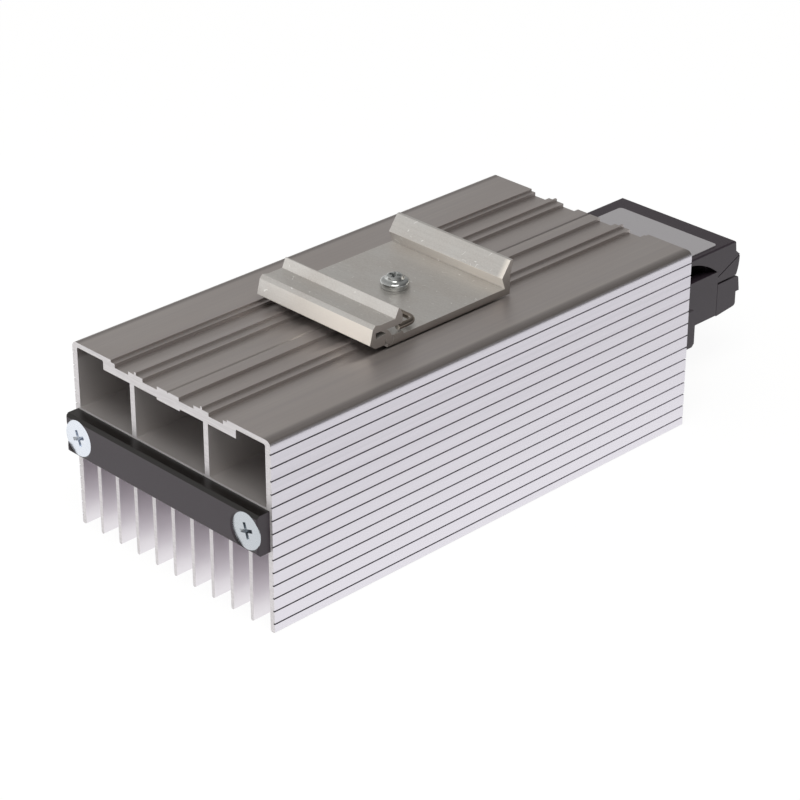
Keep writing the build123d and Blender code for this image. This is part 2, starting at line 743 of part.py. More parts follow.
export_step(clip_jaw.part, "parts/clip_jaw.step")

# Spring: a steel wire bent to a flat U. Its ends lie in the jaw's slot, its long leg grips the rail
wire_x = clip_width / 2 - spring_wire / 2
with BuildPart() as clip_spring:
    with BuildLine() as spring_path:
        FilletPolyline((-wire_x, y_front + spring_end, sink_height + spring_height),
                       (-wire_x, y_front + spring_y, sink_height + spring_height),
                       (wire_x, y_front + spring_y, sink_height + spring_height),
                       (wire_x, y_front + spring_end, sink_height + spring_height), radius=spring_bend)
    with BuildSketch(section(y_front + spring_end)):
        with Locations((-wire_x, sink_height + spring_height)):
            Circle(spring_wire / 2)
    sweep(path=spring_path.wire())
clip_spring.part.label = "clip_spring"
export_step(clip_spring.part, "parts/clip_spring.step")

# Clip screw and washer
washer_z = sink_height + plate_thickness
with BuildPart() as clip_washer:
    with BuildSketch(Plane.XY.offset(washer_z)):
        with Locations((0, y_front + clip_screw_y)):
            Circle(clip_washer_diameter / 2)
            Circle(washer_bore / 2, mode=Mode.SUBTRACT)
    extrude(amount=clip_washer_thickness)
clip_washer.part.label = "clip_washer"
export_step(clip_washer.part, "parts/clip_washer.step")

head_z = washer_z + clip_washer_thickness
with BuildPart() as clip_screw:
    with Locations((0, y_front + clip_screw_y, head_z)):
        Cylinder(clip_screw_diameter / 2 - pivot_clearance,
                 clip_washer_thickness + plate_thickness + clip_screw_depth,
                 align=(Align.CENTER, Align.CENTER, Align.MAX))
        Cylinder(clip_head_diameter / 2, clip_head_rim, align=(Align.CENTER, Align.CENTER, Align.MIN))
        with Locations((0, 0, clip_head_rim)):
            Cone(clip_head_diameter / 2, clip_head_top / 2, clip_head_height - clip_head_rim,
                 align=(Align.CENTER, Align.CENTER, Align.MIN))
        with Locations((0, 0, clip_head_height)):
            Box(clip_cross_span, clip_cross_slot, clip_head_height, mode=Mode.SUBTRACT)
            Box(clip_cross_slot, clip_cross_span, clip_head_height, mode=Mode.SUBTRACT)
clip_screw.part.label = "clip_screw"
export_step(clip_screw.part, "parts/clip_screw.step")
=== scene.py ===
import math

import bpy
from mathutils import Matrix, Vector


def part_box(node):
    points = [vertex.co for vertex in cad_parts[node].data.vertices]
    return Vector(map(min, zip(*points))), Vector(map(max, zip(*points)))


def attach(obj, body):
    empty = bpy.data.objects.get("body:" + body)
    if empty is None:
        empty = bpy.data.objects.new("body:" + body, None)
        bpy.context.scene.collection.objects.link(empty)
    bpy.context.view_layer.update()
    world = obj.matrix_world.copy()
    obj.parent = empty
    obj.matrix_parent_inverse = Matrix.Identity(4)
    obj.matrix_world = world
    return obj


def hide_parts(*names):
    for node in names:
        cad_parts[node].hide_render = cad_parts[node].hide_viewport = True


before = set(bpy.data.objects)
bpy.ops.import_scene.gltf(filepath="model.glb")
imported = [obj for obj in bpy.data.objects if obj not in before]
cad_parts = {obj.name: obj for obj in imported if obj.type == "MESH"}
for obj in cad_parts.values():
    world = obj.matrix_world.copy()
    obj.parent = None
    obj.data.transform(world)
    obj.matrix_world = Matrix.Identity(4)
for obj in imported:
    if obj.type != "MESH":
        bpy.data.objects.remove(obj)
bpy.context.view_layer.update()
mm = 0.001

# Heat sink. The real one is a single aluminium extrusion: three air ducts over a row of fins, with
# grooves along both sides and a relief in its back. It comes off the die with fine lengthwise
# streaks, its ends are sawn, and nothing is painted. The CAD solid has the right shape and stays.
sink_low, sink_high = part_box("heat_sink")
streak_width = 0.9 * mm
streak_length = 120 * mm
hairline_width = 0.28 * mm
hairline_length = 60 * mm
cloud_width = 18 * mm
cloud_length = 60 * mm
saw_pitch = 0.35 * mm
saw_stroke = 6 * mm
shoulder_start = sink_high.x - 3.4 * mm
shoulder_end = sink_high.x - 2.2 * mm
side_start = sink_high.z - 3.2 * mm
side_end = sink_high.z - 2.6 * mm
groove_depth = 0.45 * mm
fin_reach = 24 * mm
duct_floor = 35 * mm
duct_top = 50.5 * mm

# Levels between which a noise fades, softly or firmly, and those at which a face counts as square on
soft_fade = {"From Min": 0.3, "From Max": 0.7}
firm_fade = {"From Min": 0.35, "From Max": 0.65}
square_on = {"From Min": 0.75, "From Max": 0.95}
falling = {"To Min": 1.0, "To Max": 0.0}

# A Mix node's inputs for colours, by their place, because their names repeat
share, first, second = 0, 6, 7


def linear(colour):
    """The linear colour that a shader takes, from an sRGB hex colour."""
    channels = [int(colour[i:i + 2], 16) / 255 for i in (1, 3, 5)]
    return [c / 12.92 if c <= 0.04045 else ((c + 0.055) / 1.055) ** 2.4 for c in channels] + [1.0]


def add(material, kind, links, **settings):
    """Add a node to a material. A link is a value, a hex colour, a socket, or a node, which gives
    its first output in use."""
    tree = material.node_tree
    node = tree.nodes.new(kind)
    for name, value in settings.items():
        setattr(node, name, value)
    for name, value in links.items():
        if isinstance(value, bpy.types.Node):
            value = next(output for output in value.outputs if output.enabled)
        if isinstance(value, bpy.types.NodeSocket):
            tree.links.new(value, node.inputs[name])
        elif isinstance(value, str):
            node.inputs[name].default_value = linear(value)
        else:
            node.inputs[name].default_value = value
    return node


def start_material(name):
    """An empty node material and the object coordinates it reads."""
    material = bpy.data.materials.new(name)
    material.use_nodes = True
    material.node_tree.nodes.clear()
    return material, add(material, "ShaderNodeTexCoord", {})


def stretched_noise(material, coordinates, sizes, detail=3.0):
    """Noise whose cells measure the three given sizes along X, Y and Z."""
    place = add(material, "ShaderNodeMapping",
                {"Vector": coordinates.outputs["Object"], "Scale": [1 / size for size in sizes]})
    return add(material, "ShaderNodeTexNoise", {"Vector": place, "Scale": 1.0, "Detail": detail})


# Mill finish aluminium: a dull sheen, with painted shade making the back a darker warm grey and
# painted light making the sides paler and cooler, and paler still towards the fin tips. There are
# faint lengthwise streaks, painted shade in the grooves and on the rounded shoulders, chalky duct
# walls, and pale sawn ends that scatter the light. Real hairlines and saw marks are finer, and are
# drawn as coarse as they need to show.
mill, at = start_material("extruded_mill_aluminium")
place = add(mill, "ShaderNodeSeparateXYZ", {"Vector": at.outputs["Object"]})
facing = add(mill, "ShaderNodeSeparateXYZ", {"Vector": at.outputs["Normal"]})
across = add(mill, "ShaderNodeMath", {0: place.outputs["X"]}, operation="ABSOLUTE")
facing_side = add(mill, "ShaderNodeMath", {0: facing.outputs["X"]}, operation="ABSOLUTE")
facing_end = add(mill, "ShaderNodeMath", {0: facing.outputs["Y"]}, operation="ABSOLUTE")
streaks = stretched_noise(mill, at, (streak_width, streak_length, streak_width))
hairlines = stretched_noise(mill, at, (hairline_width, hairline_length, hairline_width), 2.0)
clouds = stretched_noise(mill, at, (cloud_width, cloud_length, cloud_width), 2.0)
saw_marks = stretched_noise(mill, at, (saw_stroke, saw_stroke, saw_pitch), 2.0)

# The back, streaked and cloudy, with painted shade on its rounded shoulders
streaked = add(mill, "ShaderNodeMapRange", {"Value": streaks, **soft_fade})
cloudy = add(mill, "ShaderNodeMapRange", {"Value": clouds, **firm_fade, "To Max": 0.5})
back = add(mill, "ShaderNodeMix", {share: streaked, first: "#b1abaa", second: "#bab4b1"}, data_type="RGBA")
back = add(mill, "ShaderNodeMix", {share: cloudy, first: back, second: "#aea6a3"}, data_type="RGBA")
# Painted shade: the rounded shoulders darker where they turn from the back to the sides
turning = add(mill, "ShaderNodeMapRange", {"Value": facing.outputs["Z"], "From Min": 0.45, "From Max": 0.7})
near_corner = add(mill, "ShaderNodeMapRange",
                  {"Value": across, "From Min": shoulder_start, "From Max": shoulder_end})
shoulder = add(mill, "ShaderNodeMath", {0: turning, 1: near_corner}, operation="MULTIPLY")
back = add(mill, "ShaderNodeMix", {share: shoulder, first: back, second: "#928c8a"}, data_type="RGBA")

# The sides, with painted light paling them near the fin tips, and painted shade in their grooves
# that fades out to the rear
side = add(mill, "ShaderNodeMix", {share: streaked, first: "#cbc8cf", second: "#d4d1d8"}, data_type="RGBA")
# Painted light: the sides pale towards the fin tips, as the floor lights them
painted_tip_light = add(mill, "ShaderNodeMapRange",
                {"Value": place.outputs["Z"], "From Min": 0.0, "From Max": sink_high.z * 0.8, **falling})
side = add(mill, "ShaderNodeMix", {share: painted_tip_light, first: side, second: "#e4e1e8"}, data_type="RGBA")
outer_skin = add(mill, "ShaderNodeMapRange",
                 {"Value": across, "From Min": sink_high.x - groove_depth * 1.2,
                  "From Max": sink_high.x - groove_depth})
sideways = add(mill, "ShaderNodeMapRange", {"Value": facing_side, **square_on})
side_face = add(mill, "ShaderNodeMath", {0: sideways, 1: outer_skin}, operation="MULTIPLY")
# The back and the sides are shaded and lit copies of one metal: the back's darker, warmer grey is painted
# shade and the sides' paler, cooler grey is painted light
colour = add(mill, "ShaderNodeMix", {share: side_face, first: back, second: side}, data_type="RGBA")
below_face = add(mill, "ShaderNodeMapRange",
                 {"Value": across, "From Min": sink_high.x - 0.02 * mm, "From Max": sink_high.x - 0.06 * mm})
in_groove = add(mill, "ShaderNodeMath", {0: outer_skin, 1: below_face}, operation="MULTIPLY")
flat_side = add(mill, "ShaderNodeMapRange",
                {"Value": place.outputs["Z"], "From Min": side_start, "From Max": side_end, **falling})
to_rear = add(mill, "ShaderNodeMapRange",
              {"Value": place.outputs["Y"], "From Min": sink_low.y, "From Max": sink_high.y})
# Painted shade in the grooves below the shoulders, lighter towards the rear
groove_shade_colour = add(mill, "ShaderNodeMix", {share: to_rear, first: "#b2afb5", second: "#dad7dd"}, data_type="RGBA")
painted_groove_shade = add(mill, "ShaderNodeMath", {0: in_groove, 1: flat_side}, operation="MULTIPLY")
colour = add(mill, "ShaderNodeMix", {share: painted_groove_shade, first: colour, second: groove_shade_colour}, data_type="RGBA")

# The fins, paler towards their tips with painted light, the sawn ends, and the ducts' walls
painted_fin_shade = add(mill, "ShaderNodeMapRange",
               {"Value": place.outputs["Z"], "From Min": 0.0, "From Max": fin_reach})
fin = add(mill, "ShaderNodeMix", {share: painted_fin_shade, first: "#e8e4e8", second: "#dad5d9"}, data_type="RGBA")
below_channel = add(mill, "ShaderNodeMapRange",
                    {"Value": place.outputs["Z"], "From Min": fin_reach, "From Max": fin_reach + 0.2 * mm,
                     **falling})
inside_skin = add(mill, "ShaderNodeMapRange",
                  {"Value": across, "From Min": sink_high.x - groove_depth * 1.3,
                   "From Max": sink_high.x - groove_depth * 1.5})
among_fins = add(mill, "ShaderNodeMath", {0: below_channel, 1: inside_skin}, operation="MULTIPLY")
colour = add(mill, "ShaderNodeMix", {share: among_fins, first: colour, second: fin}, data_type="RGBA")
sawn_light = add(mill, "ShaderNodeMapRange", {"Value": saw_marks, **firm_fade})
sawn = add(mill, "ShaderNodeMix", {share: sawn_light, first: "#d4d1d3", second: "#dfdcde"}, data_type="RGBA")
end_face = add(mill, "ShaderNodeMapRange", {"Value": facing_end, **square_on})
colour = add(mill, "ShaderNodeMix", {share: end_face, first: colour, second: sawn}, data_type="RGBA")
inside_wall = add(mill, "ShaderNodeMapRange",
                  {"Value": across, "From Min": sink_high.x - 0.9 * mm, "From Max": sink_high.x - 1.1 * mm})
above_floor = add(mill, "ShaderNodeMapRange",
                  {"Value": place.outputs["Z"], "From Min": duct_floor - 2 * mm,
                   "From Max": duct_floor - 1.8 * mm})
below_roof = add(mill, "ShaderNodeMapRange",
                 {"Value": place.outputs["Z"], "From Min": duct_top, "From Max": duct_top + 1.5 * mm,
                  **falling})
off_end = add(mill, "ShaderNodeMapRange", {"Value": facing_end, "From Min": 0.95, "From Max": 0.75})
in_duct = add(mill, "ShaderNodeMath", {0: above_floor, 1: below_roof}, operation="MULTIPLY")
in_duct = add(mill, "ShaderNodeMath", {0: inside_wall, 1: in_duct}, operation="MULTIPLY")
in_duct = add(mill, "ShaderNodeMath", {0: in_duct, 1: off_end}, operation="MULTIPLY")
colour = add(mill, "ShaderNodeMix", {share: in_duct, first: colour, second: "#cdc9c8"}, data_type="RGBA")

# How chalky it is: the ends most, then the ducts, and the back a little
off_side = add(mill, "ShaderNodeMapRange", {"Value": side_face, "To Min": 0.18, "To Max": 0.0})
above_ducts = add(mill, "ShaderNodeMapRange",
                  {"Value": place.outputs["Z"], "From Min": duct_top + 1 * mm,
                   "From Max": duct_top + 1.5 * mm})
chalk = add(mill, "ShaderNodeMath", {0: off_side, 1: above_ducts}, operation="MULTIPLY")
chalk = add(mill, "ShaderNodeMath", {0: end_face, 1: 0.5, 2: chalk}, operation="MULTIPLY_ADD")
chalk = add(mill, "ShaderNodeMath", {0: in_duct, 1: 0.26, 2: chalk}, operation="MULTIPLY_ADD")
sheen = add(mill, "ShaderNodeMapRange", {"Value": streaks, **soft_fade, "To Min": 0.34, "To Max": 0.38})
add(mill, "ShaderNodeOutputMaterial", {"Surface": add(mill, "ShaderNodeBsdfPrincipled", {
    "Base Color": colour,
    "Metallic": add(mill, "ShaderNodeMapRange", {"Value": chalk, **falling}),
    "Roughness": add(mill, "ShaderNodeMath", {0: chalk, 1: 0.3, 2: sheen}, operation="MULTIPLY_ADD"),
    "Normal": add(mill, "ShaderNodeBump", {"Height": hairlines, "Strength": 0.15, "Distance": 0.03 * mm})})})


def dress(node, material):
    """Give a CAD node its material."""
    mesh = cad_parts[node].data
    mesh.materials.clear()
    mesh.materials.append(material)


dress("heat_sink", mill)

# Heating element in the channel: a row of ceramic stones between two bright contact strips, all in
# a folded film sleeve and pressed to the channel's roof by an aluminium bar. Only the sawn end of
# the bar would show without the end bar; the parts keep their CAD shape.

# Extruded aluminium bar: plain grey with lines from the die
plain_metal, at = start_material("extruded_pressure_bar")
die_lines = stretched_noise(plain_metal, at, (0.5 * mm, 60 * mm, 0.5 * mm))
colour = add(plain_metal, "ShaderNodeMix", {share: die_lines, first: "#aaa7a3", second: "#bdbab6"},
             data_type="RGBA")
add(plain_metal, "ShaderNodeOutputMaterial", {"Surface": add(plain_metal, "ShaderNodeBsdfPrincipled", {
    "Base Color": colour, "Metallic": 1.0, "Roughness": 0.4})})
dress("pressure_plate", plain_metal)

# Fired ceramic: matt, dark and finely speckled
ceramic, at = start_material("fired_barium_titanate")
grains = stretched_noise(ceramic, at, (0.3 * mm, 0.3 * mm, 0.3 * mm))
colour = add(ceramic, "ShaderNodeMix", {share: grains, first: "#544e4a", second: "#6a635d"}, data_type="RGBA")
add(ceramic, "ShaderNodeOutputMaterial", {"Surface": add(ceramic, "ShaderNodeBsdfPrincipled", {
    "Base Color": colour, "Roughness": 0.75})})
dress("ptc_elements", ceramic)

# Tinned strip: bright, with rolling marks along it
tinned, at = start_material("tinned_copper_strip")
rolled = stretched_noise(tinned, at, (0.4 * mm, 20 * mm, 0.4 * mm))
colour = add(tinned, "ShaderNodeMix", {share: rolled, first: "#c2c3c4", second: "#d4d5d4"}, data_type="RGBA")
add(tinned, "ShaderNodeOutputMaterial", {"Surface": add(tinned, "ShaderNodeBsdfPrincipled", {
    "Base Color": colour, "Metallic": 1.0, "Roughness": 0.28})})
for node in ("contact_strip_lower", "contact_strip_upper", "earth_lug"):
    dress(node, tinned)

# Polyimide film: amber and glossy, with creases across it
film, at = start_material("amber_polyimide_film")
creases = stretched_noise(film, at, (2 * mm, 9 * mm, 2 * mm))
colour = add(film, "ShaderNodeMix", {share: creases, first: "#a8661d", second: "#c98a35"}, data_type="RGBA")
add(film, "ShaderNodeOutputMaterial", {"Surface": add(film, "ShaderNodeBsdfPrincipled", {
    "Base Color": colour, "Roughness": 0.3})})
dress("insulation_sleeve", film)

# End bar across the channel's front end. The real one is moulded in black glass-filled nylon, with
# bevelled long edges, and is held by two countersunk screws. It is the CAD solid with eased edges.
bar_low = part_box("front_end_bar")[0]
bar_ease = 0.25 * mm
merge_reach = 0.001 * mm
flat_within = math.radians(0.5)
eased_beyond = math.radians(28)
smooth_within = math.radians(30)


def eased_copy(node, name, body, ease, reshape=None):
    """A merged copy of a CAD node with eased edges and flat broad faces, shown in its place."""
    bpy.ops.object.select_all(action="DESELECT")
    piece = bpy.data.objects.new(name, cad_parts[node].data.copy())
    bpy.context.scene.collection.objects.link(piece)
    piece.select_set(True)
    bpy.context.view_layer.objects.active = piece
    bpy.ops.object.mode_set(mode="EDIT")
    bpy.ops.mesh.select_all(action="SELECT")
    bpy.ops.mesh.remove_doubles(threshold=merge_reach)
    bpy.ops.mesh.dissolve_limited(angle_limit=flat_within)
    bpy.ops.object.mode_set(mode="OBJECT")
    if reshape:
        reshape(piece)
    bevel = piece.modifiers.new("eased", "BEVEL")
    bevel.width = ease
    bevel.segments = 2
    bevel.limit_method = "ANGLE"
    bevel.angle_limit = eased_beyond
    bpy.ops.object.modifier_apply(modifier="eased")
    bpy.ops.object.shade_smooth_by_angle(angle=smooth_within)
    flat_faces = piece.modifiers.new("flat_faces", "WEIGHTED_NORMAL")
    flat_faces.weight = 100
    flat_faces.keep_sharp = True
    bpy.ops.object.modifier_apply(modifier="flat_faces")
    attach(piece, body)
    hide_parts(node)
    return piece


def clad(piece, material):
    """Give a new piece its one material."""
    piece.data.materials.clear()
    piece.data.materials.append(material)


# Black nylon: a satin moulding, faintly mauve, with painted shade making its upward faces darker
# and browner. The grain of its glass is finer on the real one, and is drawn as coarse as it needs
# to show.
nylon, at = start_material("moulded_black_nylon")
grain = stretched_noise(nylon, at, (0.25 * mm, 0.25 * mm, 0.25 * mm))
flow = stretched_noise(nylon, at, (25 * mm, 8 * mm, 8 * mm), 1.0)
facing = add(nylon, "ShaderNodeSeparateXYZ", {"Vector": at.outputs["Normal"]})
# Painted shade: faces that look up are darker and browner
painted_top_shade = add(nylon, "ShaderNodeMapRange", {"Value": facing.outputs["Z"], "From Min": 0.3, "From Max": 0.6})
colour = add(nylon, "ShaderNodeMix", {share: flow, first: "#291f28", second: "#30272f"}, data_type="RGBA")
colour = add(nylon, "ShaderNodeMix", {share: painted_top_shade, first: colour, second: "#120f0d"}, data_type="RGBA")
add(nylon, "ShaderNodeOutputMaterial", {"Surface": add(nylon, "ShaderNodeBsdfPrincipled", {
    "Base Color": colour,
    "Roughness": add(nylon, "ShaderNodeMapRange",
                     {"Value": grain, **soft_fade, "To Min": 0.36, "To Max": 0.44}),
    "Normal": add(nylon, "ShaderNodeBump", {"Height": grain, "Strength": 0.25, "Distance": 0.02 * mm})})})
clad(eased_copy("front_end_bar", "end_bar", "heater", bar_ease), nylon)

# Countersunk screws, two in the end bar and two smaller-headed ones in the terminal box's flange.
# They are steel with a bluish zinc plate and a cross recess. Each is copied to both ends of its bar.
shank_radius = 2.25 * mm
shank_length = 20 * mm
head_rim = 0.25 * mm
head_edge = 0.12 * mm
bar_head_radius = 5.25 * mm
bar_recess_span = 5.3 * mm
recess_width = 1.15 * mm
recess_depth = 2.1 * mm
recess_taper = 0.5
screw_x = 33.5 * mm
screw_z = 29.6 * mm
head_sink = 0.35 * mm


def apply_place(piece):
    """Move a piece's place into its mesh, with its object left at the origin."""
    bpy.ops.object.select_all(action="DESELECT")
    piece.select_set(True)
    bpy.context.view_layer.objects.active = piece
    bpy.ops.object.transform_apply(location=True, rotation=True, scale=True)


def select_underside(piece):
    """Select the faces that look down, in edit mode with face select."""
    bpy.ops.object.mode_set(mode="OBJECT")
    for item in [*piece.data.vertices, *piece.data.edges]:
        item.select = False
    for face in piece.data.polygons:
        face.select = face.normal.z < -0.9
    bpy.ops.object.mode_set(mode="EDIT")
    bpy.ops.mesh.select_mode(type="FACE")


def cross_cutter(span, width, depth):
    """A tapered cross that hangs down from just above z 0, to cut a driver's recess."""
    above = 0.5 * mm
    wings = []
    for turn in (0, math.pi / 2):
        bpy.ops.object.select_all(action="DESELECT")
        bpy.ops.mesh.primitive_cube_add(size=1, location=(0, 0, (above - depth) / 2), rotation=(0, 0, turn))
        wing = bpy.context.active_object
        wing.scale = (span, width, depth + above)
        apply_place(wing)
        select_underside(wing)
        bpy.ops.transform.resize(value=(recess_taper, recess_taper, 1))
        bpy.ops.object.mode_set(mode="OBJECT")
        wings.append(wing)
    cutter, crossing = wings
    join = cutter.modifiers.new("join", "BOOLEAN")
    join.operation = "UNION"
    join.object = crossing
    bpy.context.view_layer.objects.active = cutter
    bpy.ops.object.modifier_apply(modifier="join")
    bpy.data.objects.remove(crossing)
    return cutter


def cut(piece, cutter):
    """Take one mesh out of another, and the cutter out of the scene."""
    hollow = piece.modifiers.new("cut", "BOOLEAN")
    hollow.operation = "DIFFERENCE"
    hollow.object = cutter
    bpy.ops.object.select_all(action="DESELECT")
    piece.select_set(True)
    bpy.context.view_layer.objects.active = piece
    bpy.ops.object.modifier_apply(modifier="cut")
    bpy.data.objects.remove(cutter)


def turned_piece(name, profile, closed=False):
    """Turn a piece up the Z axis: a circle at the first (radius, height), extruded to each next one."""
    radius, height = profile[0]
    bpy.ops.object.select_all(action="DESELECT")
    bpy.ops.mesh.primitive_circle_add(vertices=72, radius=radius, location=(0, 0, height),
                                      fill_type="NOTHING" if closed else "NGON")
    piece = bpy.context.active_object
    piece.name = name
    bpy.ops.object.mode_set(mode="EDIT")
    bpy.ops.mesh.select_all(action="SELECT")
    for next_radius, next_height in profile[1:]:
        bpy.ops.mesh.extrude_region_move(TRANSFORM_OT_translate={"value": (0, 0, next_height - height)})
        bpy.ops.transform.resize(value=(next_radius / radius, next_radius / radius, 1))
        radius, height = next_radius, next_height
    bpy.ops.mesh.select_all(action="SELECT")
    bpy.ops.mesh.remove_doubles(threshold=merge_reach)
    bpy.ops.mesh.normals_make_consistent(inside=False)
    bpy.ops.object.mode_set(mode="OBJECT")
    apply_place(piece)
    return piece


def countersunk_screw(name, head_radius, recess_span):
    """A screw that stands on its shank, with the top of its head at z 0."""
    screw = turned_piece(name, [
        (shank_radius, -shank_length), (shank_radius, shank_radius - head_radius - head_rim),
        (head_radius, -head_rim), (head_radius, -head_edge), (head_radius - head_edge / 3, -head_edge / 3),
        (head_radius - head_edge, 0)])
    cut(screw, cross_cutter(recess_span, recess_width, recess_depth))
    bpy.ops.object.shade_smooth_by_angle(angle=smooth_within)
    return screw


# Bright zinc plate: a cool white metal with a slight haze and small handling marks, darker on the
# screws to the right
zinc, at = start_material("bright_zinc_plate")
place = add(zinc, "ShaderNodeSeparateXYZ", {"Vector": at.outputs["Object"]})
haze = stretched_noise(zinc, at, (1.2 * mm, 1.2 * mm, 1.2 * mm))
marks = stretched_noise(zinc, at, (0.2 * mm, 0.2 * mm, 0.2 * mm))
to_right = add(zinc, "ShaderNodeMapRange",
               {"Value": place.outputs["X"], "From Min": 20 * mm, "From Max": 30 * mm})
colour = add(zinc, "ShaderNodeMix", {share: haze, first: "#dbe1ea", second: "#e9edf4"}, data_type="RGBA")
colour = add(zinc, "ShaderNodeMix", {share: to_right, first: colour, second: "#c2c7cc"}, data_type="RGBA")
add(zinc, "ShaderNodeOutputMaterial", {"Surface": add(zinc, "ShaderNodeBsdfPrincipled", {
    "Base Color": colour, "Metallic": 1.0,
    "Roughness": add(zinc, "ShaderNodeMapRange", {"Value": haze, **soft_fade, "To Min": 0.22, "To Max": 0.3}),
    "Normal": add(zinc, "ShaderNodeBump", {"Height": marks, "Strength": 0.15, "Distance": 0.02 * mm})})})


def set_screws(name, node, model, y, direction, turns):
    """Copy a screw to both ends of a bar. Direction is -1 to the front, 1 to the rear."""
    screws = []
    for x, turn in zip((-screw_x, screw_x), turns):
        screw = bpy.data.objects.new(name, model.data.copy())
        bpy.context.scene.collection.objects.link(screw)
        tilt = Matrix.Rotation(-direction * math.pi / 2, 4, "X")
        spin = Matrix.Rotation(math.radians(turn), 4, "Z")
        screw.matrix_world = Matrix.Translation((x, y, screw_z)) @ tilt @ spin
        apply_place(screw)
        screws.append(screw)
    bpy.data.objects.remove(model)
    pair = screws[0]
    bpy.ops.object.select_all(action="DESELECT")
    for screw in screws:
        screw.select_set(True)
    bpy.context.view_layer.objects.active = pair
    bpy.ops.object.join()
    clad(pair, zinc)
    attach(pair, "heater")
    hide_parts(node)


set_screws("end_bar_screws", "front_bar_screws",
           countersunk_screw("broad_screw", bar_head_radius, bar_recess_span),
           bar_low.y + head_sink, -1, (22, 18))

# Terminal box at the rear, moulded in black. The base is one piece with a flange like the end bar, a
# lower box, and a bridge over the cable. The cover snaps over its spigot, and a clamp block holds
# the cable. All three are the CAD solids with eased edges.
box_ease = 0.15 * mm
flange_rear = sink_high.y + 4.3 * mm
flange_head_radius = 3.75 * mm
flange_recess_span = 3.8 * mm

# Black polycarbonate: a dark moulding, a little glossier than the bar. Its spark-eroded grain is
# finer on the real one, and is drawn as coarse as it needs to show.
moulding, at = start_material("grained_black_polycarbonate")
grain = stretched_noise(moulding, at, (0.3 * mm, 0.3 * mm, 0.3 * mm))
bloom = stretched_noise(moulding, at, (9 * mm, 9 * mm, 9 * mm), 2.0)
colour = add(moulding, "ShaderNodeMix", {share: bloom, first: "#2c232c", second: "#342b34"}, data_type="RGBA")
add(moulding, "ShaderNodeOutputMaterial", {"Surface": add(moulding, "ShaderNodeBsdfPrincipled", {
    "Base Color": colour,
    "Roughness": add(moulding, "ShaderNodeMapRange",
                     {"Value": grain, **soft_fade, "To Min": 0.38, "To Max": 0.5}),
    "Normal": add(moulding, "ShaderNodeBump", {"Height": grain, "Strength": 0.3, "Distance": 0.03 * mm})})})
for node, name in (("terminal_base", "box_base"), ("terminal_cover", "box_cover"),
                   ("cable_clamp", "clamp_block")):
    clad(eased_copy(node, name, "heater", box_ease), moulding)
set_screws("box_flange_screws", "rear_flange_screws",
           countersunk_screw("flange_screw", flange_head_radius, flange_recess_span),
           flange_rear - head_sink, 1, (8, 31))

# Label on the cover. The real one is a thin foil with rounded corners, stuck in a shallow place. It
# is a plane with bevelled corners that is given its thickness, and it is left bare.
label_low, label_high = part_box("label_plate")
label_middle = (label_low + label_high) / 2
label_corner = 1.2 * mm
bpy.ops.object.select_all(action="DESELECT")
bpy.ops.mesh.primitive_plane_add(size=1, location=(label_middle.x, label_middle.y, label_high.z))
label = bpy.context.active_object
label.name = "bare_label"
label.scale = (label_high.x - label_low.x, label_high.y - label_low.y, 1)
apply_place(label)
bpy.ops.object.mode_set(mode="EDIT")
bpy.ops.mesh.select_all(action="SELECT")
bpy.ops.mesh.bevel(offset=label_corner, segments=5, affect="VERTICES")
bpy.ops.mesh.extrude_region_move(
    TRANSFORM_OT_translate={"value": (0, 0, label_low.z - label_high.z)})
bpy.ops.mesh.select_all(action="SELECT")
bpy.ops.mesh.normals_make_consistent(inside=False)
bpy.ops.object.mode_set(mode="OBJECT")
bpy.ops.object.shade_smooth_by_angle(angle=smooth_within)

# Metallised foil: matt silver with a fine speckle
foil, at = start_material("matt_silver_foil")
speckle = stretched_noise(foil, at, (0.25 * mm, 0.25 * mm, 0.25 * mm))
colour = add(foil, "ShaderNodeMix", {share: speckle, first: "#bfbdc1", second: "#cac8cc"}, data_type="RGBA")
add(foil, "ShaderNodeOutputMaterial", {"Surface": add(foil, "ShaderNodeBsdfPrincipled", {
    "Base Color": colour, "Metallic": 0.6, "Roughness": 0.5})})
clad(label, foil)
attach(label, "heater")
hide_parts("label_plate")

# Inside the box: a dark terminal block with brass cages and headless screws, the three leads in
# silicone, and the earth screw. Little shows through the gaps in the cover, and they keep their CAD
# shape.

# Polyamide: dark, slightly mottled and half matt
polyamide, at = start_material("dark_polyamide_block")
mottle = stretched_noise(polyamide, at, (2 * mm, 2 * mm, 2 * mm))
colour = add(polyamide, "ShaderNodeMix", {share: mottle, first: "#363638", second: "#414144"},
             data_type="RGBA")
add(polyamide, "ShaderNodeOutputMaterial", {"Surface": add(polyamide, "ShaderNodeBsdfPrincipled", {
    "Base Color": colour, "Roughness": 0.55})})
dress("terminal_block", polyamide)

# Milled brass: yellow, with cutter marks along it
brass, at = start_material("milled_brass")
cutter_marks = stretched_noise(brass, at, (0.4 * mm, 4 * mm, 0.4 * mm))
colour = add(brass, "ShaderNodeMix", {share: cutter_marks, first: "#b08f4b", second: "#c9ab65"},
             data_type="RGBA")
add(brass, "ShaderNodeOutputMaterial", {"Surface": add(brass, "ShaderNodeBsdfPrincipled", {
    "Base Color": colour, "Metallic": 1.0, "Roughness": 0.35})})
dress("terminal_cages", brass)
for node in ("terminal_screws", "earth_screw", "cable_clamp_screws"):
    dress(node, zinc)

# Silicone: matt and slightly powdery, in the leads' three colours
for node, shade, highlight in (("lead_live", "#64391f", "#754629"), ("lead_neutral", "#27558f", "#34659f"),
                               ("lead_earth", "#54812c", "#c0b032")):
    silicone, at = start_material("silicone_" + node)
    powder = stretched_noise(silicone, at, (1.5 * mm, 1.5 * mm, 1.5 * mm))
    colour = add(silicone, "ShaderNodeMix", {share: powder, first: shade, second: highlight},
                 data_type="RGBA")
    add(silicone, "ShaderNodeOutputMaterial", {"Surface": add(silicone, "ShaderNodeBsdfPrincipled", {
        "Base Color": colour, "Roughness": 0.6})})
    dress(node, silicone)

